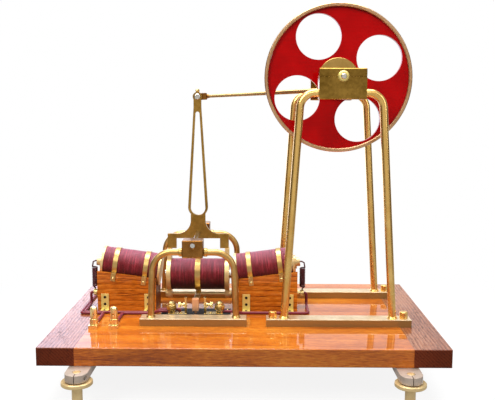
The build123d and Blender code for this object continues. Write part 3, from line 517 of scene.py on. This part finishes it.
def screw_group():
    """Slotted round-head screws set on points, each with its facing, turn and size."""
    tree, add, given = geometry_group("slotted_screws", [
        ("Head Radius", "Float"),
        ("Head Height", "Float"),
        ("Slot Width", "Float"),
        ("Metal", "Material"),
    ])
    radius = given["Head Radius"]
    height = given["Head Height"]
    ball = add("GeometryNodeMeshUVSphere", {"Segments": 24, "Rings": 12, "Radius": 1.0}, "Mesh")
    size = add("ShaderNodeCombineXYZ", {"X": radius, "Y": radius, "Z": height})
    dome = add("GeometryNodeTransform", {"Geometry": ball, "Scale": size})
    wide = add("ShaderNodeMath", {0: radius, 1: 3.0}, operation="MULTIPLY")
    tools = []
    # The slot's cutter at the top of the dome, and the block that takes off its lower half
    for depth, share in ((given["Slot Width"], 0.95), (wide, -0.55)):
        size = add("ShaderNodeCombineXYZ", {"X": wide, "Y": depth, "Z": height})
        block = add("GeometryNodeMeshCube", {"Size": size}, "Mesh")
        lift = add("ShaderNodeMath", {0: height, 1: share}, operation="MULTIPLY")
        step = add("ShaderNodeCombineXYZ", {"Z": lift})
        tools.append(add("GeometryNodeTransform", {"Geometry": block, "Translation": step}))
    cut = add("GeometryNodeMeshBoolean", {"Mesh 1": dome, "Mesh 2": tools}, "Mesh", operation="DIFFERENCE")
    facing, turn, size = [
        add("GeometryNodeInputNamedAttribute", {"Name": label}, "Attribute", data_type=kind)
        for label, kind in (("facing", "FLOAT_VECTOR"), ("turn", "FLOAT"), ("size", "FLOAT"))
    ]
    spin = add("FunctionNodeAxisAngleToRotation", {"Axis": (0, 0, 1), "Angle": turn})
    stand = add("FunctionNodeAlignRotationToVector", {"Rotation": spin, "Vector": facing}, axis="Z")
    points = add("GeometryNodeMeshToPoints", {"Mesh": given["Geometry"]})
    values = {"Points": points, "Instance": cut, "Rotation": stand, "Scale": size}
    real = add("GeometryNodeRealizeInstances", {"Geometry": add("GeometryNodeInstanceOnPoints", values)})
    finished = add("GeometryNodeSetMaterial", {"Geometry": real, "Material": given["Metal"]})
    add("NodeGroupOutput", {0: finished})
    return tree


def knurl_group():
    """A ring of straight ridges round each point, of its own radius and length."""
    tree, add, given = geometry_group("knurled_rings", [
        ("Ridges", "Int"),
        ("Ridge Height", "Float"),
        ("Metal", "Material"),
    ])
    # How much of the pitch and of the ring's length a ridge takes
    ridge_share, length_share = 0.55, 0.86
    pitch = add("ShaderNodeMath", {0: math.tau, 1: given["Ridges"]}, operation="DIVIDE")
    circle = add("GeometryNodeMeshCircle", {"Vertices": given["Ridges"], "Radius": 1.0})
    width = add("ShaderNodeMath", {0: pitch, 1: ridge_share}, operation="MULTIPLY")
    size = add("ShaderNodeCombineXYZ", {"X": given["Ridge Height"], "Y": width, "Z": length_share})
    bar = add("GeometryNodeMeshCube", {"Size": size}, "Mesh")
    angle = add("ShaderNodeMath", {0: add("GeometryNodeInputIndex"), 1: pitch}, operation="MULTIPLY")
    swing = add("FunctionNodeAxisAngleToRotation", {"Axis": (0, 0, 1), "Angle": angle})
    values = {"Points": add("GeometryNodeMeshToPoints", {"Mesh": circle}), "Instance": bar, "Rotation": swing}
    unit = add("GeometryNodeRealizeInstances", {"Geometry": add("GeometryNodeInstanceOnPoints", values)})
    facing, radius, length = [
        add("GeometryNodeInputNamedAttribute", {"Name": label}, "Attribute", data_type=kind)
        for label, kind in (("facing", "FLOAT_VECTOR"), ("radius_m", "FLOAT"), ("length_m", "FLOAT"))
    ]
    stand = add("FunctionNodeAlignRotationToVector", {"Vector": facing}, axis="Z")
    size = add("ShaderNodeCombineXYZ", {"X": radius, "Y": radius, "Z": length})
    points = add("GeometryNodeMeshToPoints", {"Mesh": given["Geometry"]})
    values = {"Points": points, "Instance": unit, "Rotation": stand, "Scale": size}
    real = add("GeometryNodeRealizeInstances", {"Geometry": add("GeometryNodeInstanceOnPoints", values)})
    finished = add("GeometryNodeSetMaterial", {"Geometry": real, "Material": given["Metal"]})
    add("NodeGroupOutput", {0: finished})
    return tree


def points_mesh(name, labels, rows):
    """Vertices with a facing and two labelled values each. rows hold (place in mm, facing, value, value)."""
    mesh = bpy.data.meshes.new(name)
    mesh.from_pydata([Vector(row[0]) * MM for row in rows], [], [])
    # All attributes are made before any is filled, since making one moves the others
    mesh.attributes.new("facing", "FLOAT_VECTOR", "POINT")
    for label in labels:
        mesh.attributes.new(label, "FLOAT", "POINT")
    mesh.attributes["facing"].data.foreach_set("vector", [share for row in rows for share in row[1]])
    for column, label in enumerate(labels, 2):
        mesh.attributes[label].data.foreach_set("value", [row[column] for row in rows])
    return mesh


def empty_mesh(name):
    """One vertex for a geometry group to start from."""
    mesh = bpy.data.meshes.new(name)
    mesh.from_pydata([(0, 0, 0)], [], [])
    return mesh


def ride(piece, body, node=None):
    """Put a piece on a body, in place of a CAD node if one is named."""
    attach(piece, body)
    if node:
        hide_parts(node)


def tilted(s, y, n, side):
    """A place beside a fixed coil: s along its axis and n across it, from the pivot."""
    angle = math.radians(COIL_TILT)
    x = s * math.cos(angle) - n * math.sin(angle)
    z = s * math.sin(angle) + n * math.cos(angle)
    return PIVOT + Vector((side * x, y, z))


# Wound coils, the armature's and the two fixed ones: node, body, tilt, start, wound length and seed
WOUND = winding_group()
to_x = Matrix.Rotation(math.radians(90), 4, "Y")
coils = (
    ("armature_winding", "rocker", 0.0, -ARMATURE_WOUND / 2, ARMATURE_WOUND, 1.0),
    ("winding_right", "base", -COIL_TILT, COIL_START, COIL_WOUND, 2.0),
    ("winding_left", "base", COIL_TILT, -COIL_START - COIL_WOUND, COIL_WOUND, 3.0),
)
for node, body, tilt, start, length, seed in coils:
    values = {
        "Length": length * MM,
        "Radius": COIL_RADIUS * MM,
        "Wire": WIRE_RADIUS * MM,
        "Unevenness": WIRE_UNEVENNESS * MM,
        "Seed": seed,
        "Cover": WINDING,
    }
    coil = grown(node + "_wire", empty_mesh(node + "_start"), WOUND, values)
    lean = Matrix.Translation(PIVOT * MM) @ Matrix.Rotation(math.radians(tilt), 4, "Y")
    coil.data.transform(lean @ Matrix.Translation(Vector((start, 0, -COIL_DROP)) * MM) @ to_x)
    ride(coil, body, node)


# Slotted screws on brackets, strap feet, switch plate, bearing caps, clamps and binding posts.
# Heights are from the board's top, and X is from the pivot, unless the comment says otherwise
BRACKET_STARTS = (59.0, 115.6)
BRACKET_HALF = 5.0
BRACKET_THICK = 1.6
BRACKET_SCREW_HEIGHTS = (17.5, 8.5)
BRACKET_TOE_SCREW = 6.5  # from the cradle's face
CRADLE_FACES = ((2.0, -1), (50.0, 1))  # Y, and which way it looks
STRAP_STARTS = (61.6, 101.6)  # along the coil
STRAP_FOOT_Y = 24.8  # from the coil's axis
STRAP_FOOT_DROP = 14.7  # from the coil's axis
CONTACT_SCREW_X = 18.5
CONTACT_FOOT_TOP = 5.2
SWITCH_SCREW_X = 40.0
SWITCH_SCREW_Y = (-41.0, -4.0)
SWITCH_TOP = 3.0
CAP_SCREW_X = 19.5  # from the shaft
CAP_SCREW_Y = (-58.0, 76.0)
CAP_TOP = 9.5  # from the shaft
FOOT_X = (-181.0, 181.0)  # from the board's middle
CLAMP_HALF = 10.6
CLAMP_SCREW_Y = 174.0
CLAMP_SCREW_HEIGHT = 41.75  # from the table
POST_X = (-181.8, -157.5)  # from the board's middle
POST_SCREW_Y = -80.4
POST_BASE_TOP = 4.3
SLOT_TURN = 3.1  # radians, nearly half a turn
UP = (0, 0, 1)
# Sizes of the heads, as shares of the plain round or flat head
BRACKET_HEAD = 1.0
STRAP_HEAD = 0.95
CONTACT_HEAD = 1.2
SWITCH_HEAD = 0.9
CAP_HEAD = 1.5
CLAMP_HEAD = 1.2
POST_HEAD = 0.75

chance = random.Random(7)
slot_turn = partial(chance.uniform, 0, SLOT_TURN)
blacked = []
bright = []
flush = []
for side in (-1, 1):
    for low in BRACKET_STARTS:
        x = PIVOT.x + side * (low + BRACKET_HALF)
        for face, out in CRADLE_FACES:
            for up in BRACKET_SCREW_HEIGHTS:
                place = (x, face + out * BRACKET_THICK, BOARD_TOP + up)
                blacked.append((place, (0, out, 0), slot_turn(), BRACKET_HEAD))
            place = (x, face + out * BRACKET_TOE_SCREW, BOARD_TOP + BRACKET_THICK)
            blacked.append((place, UP, slot_turn(), BRACKET_HEAD))
    for s in STRAP_STARTS:
        for out in (-1, 1):
            place = tilted(s, out * STRAP_FOOT_Y, -COIL_DROP - STRAP_FOOT_DROP, side)
            bright.append((tuple(place), (0, out, 0), slot_turn(), STRAP_HEAD))
    place = (PIVOT.x + side * CONTACT_SCREW_X, SWITCH_Y, BOARD_TOP + CONTACT_FOOT_TOP)
    bright.append((place, UP, slot_turn(), CONTACT_HEAD))
    for y in SWITCH_SCREW_Y:
        place = (PIVOT.x + side * SWITCH_SCREW_X, y, BOARD_TOP + SWITCH_TOP)
        bright.append((place, UP, slot_turn(), SWITCH_HEAD))
    for y in CAP_SCREW_Y:
        place = (SHAFT.x + side * CAP_SCREW_X, y, SHAFT.z + CAP_TOP)
        flush.append((place, UP, slot_turn(), CAP_HEAD))
    for x in FOOT_X:
        place = (x - side * CLAMP_HALF, side * CLAMP_SCREW_Y, CLAMP_SCREW_HEIGHT)
        flush.append((place, (-side, 0, 0), slot_turn(), CLAMP_HEAD))
for x in POST_X:
    bright.append(((x, POST_SCREW_Y, BOARD_TOP + POST_BASE_TOP), UP, slot_turn(), POST_HEAD))

SCREWS = screw_group()
round_head = {"Head Radius": 1.8 * MM, "Head Height": 0.9 * MM, "Slot Width": 0.5 * MM}
flat_head = {"Head Radius": 1.8 * MM, "Head Height": 0.25 * MM, "Slot Width": 0.5 * MM}
for name, rows, head, look, slot in (
    ("bracket_screws", blacked, round_head, BLACKED, "steel"),
    ("brass_screws", bright, round_head, BUFFED_BRASS, "brass"),
    ("flush_screws", flush, flat_head, STEEL, "steel"),
):
    places = points_mesh(name + "_places", ("turn", "size"), rows)
    ride(grown(name, places, SCREWS, {**head, "Metal": look}), "base")


# Knurled rings on the switch terminals, the end terminals and the contact screws:
# X from the pivot, Y, height over the board's top, whether the axis is upright, radius and length
RINGS = (
    (30.5, SWITCH_Y, 12.7, True, 6.0, 6.0),
    (137.9, PIVOT.y, TERMINAL_HEIGHT, False, 4.2, 4.6),
    (20.2, SWITCH_Y, 15.5, False, 3.4, 3.2),
)
nuts = []
for side in (-1, 1):
    for x, y, height, upright, radius, length in RINGS:
        place = (PIVOT.x + side * x, y, BOARD_TOP + height)
        nuts.append((place, UP if upright else (side, 0, 0), radius * MM, length * MM))
knurls = {"Ridges": 26, "Ridge Height": 0.1, "Metal": BUFFED_BRASS}
places = points_mesh("knurl_places", ("radius_m", "length_m"), nuts)
ride(grown("knurled_rings", places, knurl_group(), knurls), "base")


# Curled pigtails: X from the pivot, heights over the board's top
CURL_X = 138.5
CURL_TOP = 53.0
CURL_LOW = 26.0
CURL_RADIUS = 3.0
CURL_WIRE = 0.98
CURL_TURNS = 12
CURL_STEPS = 14  # points to a turn
CURL_ROUNDNESS = 3  # bevel steps of the wire's section
CURL_MARGIN = 0.7  # between the curl's ends and its first and last turn
BOSS_END = 128.6  # along the coil
BOSS_GAP = 0.3
TERMINAL_TOP = 4.5  # over the end terminal's axis


def tube_mesh(name, path, radius, roundness, cover):
    """A tube of wire along a list of points in millimetres."""
    curve = bpy.data.curves.new(name, "CURVE")
    curve.dimensions = "3D"
    line = curve.splines.new("POLY")
    line.points.add(len(path) - 1)
    for point, place in zip(line.points, path):
        point.co = (*(Vector(place) * MM), 1)
    curve.bevel_depth = radius * MM
    curve.bevel_resolution = roundness
    curve.use_fill_caps = True
    holder = bpy.data.objects.new(name + "_line", curve)
    bpy.context.scene.collection.objects.link(holder)
    graph = bpy.context.evaluated_depsgraph_get()
    mesh = bpy.data.meshes.new_from_object(holder.evaluated_get(graph))
    bpy.data.objects.remove(holder)
    for polygon in mesh.polygons:
        polygon.use_smooth = True
    mesh.materials.clear()
    mesh.materials.append(cover)
    piece = bpy.data.objects.new(name, mesh)
    bpy.context.scene.collection.objects.link(piece)
    return piece


def pigtail_path(side):
    """From the coil boss, over, down a spiral and on to the end terminal."""
    x = PIVOT.x + side * CURL_X
    y = PIVOT.y
    top, low = BOARD_TOP + CURL_TOP, BOARD_TOP + CURL_LOW
    boss = tilted(BOSS_END, 0, -COIL_DROP, side)
    # Bends at both ends: how far outwards from the curl's axis, and the height
    over = ((-1.2, boss.z), (2.0, boss.z - 1.6), (CURL_RADIUS, top + 0.8))
    down = ((1.6, low - 0.6), (0.0, low - 2.0), (0.0, BOARD_TOP + TERMINAL_HEIGHT + TERMINAL_TOP))
    path = [(boss.x + side * BOSS_GAP, y, boss.z)]
    path += [(x + side * out, y, height) for out, height in over]
    steps = CURL_TURNS * CURL_STEPS
    for i in range(steps + 1):
        angle = i / CURL_STEPS * math.tau
        height = top - CURL_MARGIN - (top - low - 2 * CURL_MARGIN) * i / steps
        path.append((x + side * CURL_RADIUS * math.cos(angle), y + CURL_RADIUS * math.sin(angle), height))
    return path + [(x + side * out, y, height) for out, height in down]


pigtails = [
    tube_mesh("pigtail_" + name, pigtail_path(side), CURL_WIRE, CURL_ROUNDNESS, PIGTAIL)
    for name, side in (("left", -1), ("right", 1))
]
for piece in pigtails:
    ride(piece, "base", "pigtails")


# Floor: white paper that fades into the background, in metres
FLOOR_RADIUS = 0.95
FLOOR_SIDES = 72
FADE_START = 0.22
FADE_END = 0.60
floor_mesh = bpy.data.meshes.new("studio_floor")
corners = [math.tau * i / FLOOR_SIDES for i in range(FLOOR_SIDES)]
edge = [(FLOOR_RADIUS * math.cos(angle), FLOOR_RADIUS * math.sin(angle), 0) for angle in corners]
floor_mesh.from_pydata(edge, [], [tuple(range(FLOOR_SIDES))])
floor = bpy.data.objects.new("studio_floor", floor_mesh)
bpy.context.scene.collection.objects.link(floor)
white, add, place = material("white_studio_floor")
rays = add("ShaderNodeLightPath").node.outputs
unseen = add("ShaderNodeMath", {0: 1.0, 1: rays["Is Camera Ray"]}, operation="SUBTRACT")
values = {"Factor": unseen, COLOUR_A: hue("#F8F8F8"), COLOUR_B: hue("#606060")}
surface = add("ShaderNodeBsdfPrincipled", {
    "Base Color": add("ShaderNodeMix", values, COLOUR_MIX, data_type="RGBA"),
    "Roughness": 0.9,
    "Specular IOR Level": 0.1,
})
values = {0: rays["Is Glossy Ray"], 1: rays["Is Transmission Ray"]}
mirrored = add("ShaderNodeMath", values, operation="MAXIMUM")
mirrored = add("ShaderNodeMath", {0: mirrored, 1: 0.5}, operation="MULTIPLY")
seen = add("ShaderNodeMath", {0: rays["Is Camera Ray"], 1: mirrored}, operation="MAXIMUM")
away = add("ShaderNodeVectorMath", {0: place}, "Value", operation="LENGTH")
values = {"Value": away, "From Min": FADE_START, "From Max": FADE_END, "To Min": 0.88}
fade = add("ShaderNodeMapRange", values, interpolation_type="SMOOTHSTEP")
paper = add("ShaderNodeEmission", {"Color": hue("#FFFFFF"), "Strength": 1.0})
share = add("ShaderNodeMath", {0: fade, 1: seen}, operation="MULTIPLY")
add("ShaderNodeOutputMaterial", {"Surface": add("ShaderNodeMixShader", {0: share, 1: surface, 2: paper})})
floor_mesh.materials.append(white)

# Soft area lights, each facing a point on the object: place, aim, width, height, watts and tint
LAMPS = (
    ("key_left", (-1.0, -1.2, 1.55), (0, 0, 0.2), 0.6, 1.2, 25, "#FFFAF2"),
    ("fill_right", (1.5, -0.9, 1.0), (0, 0, 0.2), 0.35, 1.4, 7, "#F8FAFF"),
    ("front", (0.15, -1.6, 1.35), (0, 0, 0.2), 1.2, 0.6, 6, "#FFFFFF"),
    ("top", (0.0, 0.3, 1.9), (0, 0, 0.1), 1.6, 1.2, 52, "#FFFFFF"),
)
for name, place, aim, width, height, power, tint in LAMPS:
    data = bpy.data.lights.new(name, "AREA")
    data.shape = "RECTANGLE"
    data.size = width
    data.size_y = height
    data.energy = power
    data.color = hue(tint)[:3]
    lamp = bpy.data.objects.new(name, data)
    lamp.location = place
    lamp.rotation_euler = (Vector(aim) - Vector(place)).to_track_quat("-Z", "Y").to_euler()
    bpy.context.scene.collection.objects.link(lamp)

# Room: dim sides, a pale bench low in front with a dim wall above it, a grey ceiling,
# and white behind with a bright window to the left
WINDOW = 3.6
world = bpy.data.worlds.new("studio")
bpy.context.scene.world = world
world.use_nodes = True
world.node_tree.nodes.clear()
add = partial(add_node, world.node_tree)
direction = add("ShaderNodeTexCoord", give="Generated")
axes = add("ShaderNodeSeparateXYZ", {"Vector": direction}).node.outputs
rays = add("ShaderNodeLightPath").node.outputs
values = {0: rays["Is Glossy Ray"], 1: rays["Is Transmission Ray"]}
glossy = add("ShaderNodeMath", values, operation="MAXIMUM")

# How far a direction is turned to each side of the room, from 0 at one share of an axis to 1 at another
turned = {}
for label, axis, start, end in (
    ("wall", "Z", 0.08, 0.30),
    ("front", "Y", -0.3, -0.95),
    ("ceiling", "Z", 0.15, 0.8),
    ("behind", "Y", 0.45, 0.9),
    ("left", "X", 0.0, -0.28),
):
    values = {"Value": axes[axis], "From Min": start, "From Max": end}
    turned[label] = add("ShaderNodeMapRange", values, interpolation_type="SMOOTHSTEP")

bench = {"Factor": turned["wall"], COLOUR_A: hue("#DCD6CA"), COLOUR_B: hue("#746C62")}
bench = add("ShaderNodeMix", bench, COLOUR_MIX, data_type="RGBA")
front = {"Factor": glossy, COLOUR_A: hue("#524E4A"), COLOUR_B: bench}
front = add("ShaderNodeMix", front, COLOUR_MIX, data_type="RGBA")
room = {"Factor": turned["front"], COLOUR_A: hue("#5E564C"), COLOUR_B: front}
room = add("ShaderNodeMix", room, COLOUR_MIX, data_type="RGBA")
room = {"Factor": turned["ceiling"], COLOUR_A: room, COLOUR_B: hue("#CCCCCC")}
room = add("ShaderNodeMix", room, COLOUR_MIX, data_type="RGBA")
studio = {"Factor": turned["behind"], COLOUR_A: room, COLOUR_B: hue("#D6D6D6")}
studio = add("ShaderNodeMix", studio, COLOUR_MIX, data_type="RGBA")
mirrored = add("ShaderNodeMath", {0: glossy, 1: turned["behind"]}, operation="MULTIPLY")
seen = add("ShaderNodeMath", {0: rays["Is Camera Ray"], 1: mirrored}, operation="MAXIMUM")
studio = {"Factor": seen, COLOUR_A: studio, COLOUR_B: hue("#FFFFFF")}
studio = add("ShaderNodeMix", studio, COLOUR_MIX, data_type="RGBA")
window = add("ShaderNodeMath", {0: turned["left"], 1: turned["behind"]}, operation="MULTIPLY")
window = add("ShaderNodeMath", {0: window, 1: glossy}, operation="MULTIPLY")
lit = {"Factor": window, COLOUR_A: studio, COLOUR_B: hue("#D8DEFA")}
background = add("ShaderNodeBackground", {
    "Color": add("ShaderNodeMix", lit, COLOUR_MIX, data_type="RGBA"),
    "Strength": add("ShaderNodeMapRange", {"Value": window, "To Min": 1.0, "To Max": WINDOW}),
})
add("ShaderNodeOutputWorld", {"Surface": background})

# Camera, fitted to the photograph: metres, degrees and millimetres
CAMERA_PLACE = (0.0116, -0.9246, 0.3317)
CAMERA_DOWN = 7.30
CAMERA_ROLL = -0.13
CAMERA_TURN = 0.59
CAMERA_LENS = 52.94
CAMERA_SENSOR = 36.0
camera_data = bpy.data.cameras.new("camera")
camera_data.lens = CAMERA_LENS
camera_data.sensor_width = CAMERA_SENSOR
camera_data.clip_start = 0.01
camera = bpy.data.objects.new("camera", camera_data)
camera.location = CAMERA_PLACE
camera.rotation_euler = [math.radians(angle) for angle in (90 - CAMERA_DOWN, CAMERA_ROLL, CAMERA_TURN)]
bpy.context.scene.collection.objects.link(camera)
bpy.context.scene.camera = camera
bpy.context.scene.view_settings.view_transform = "Standard"
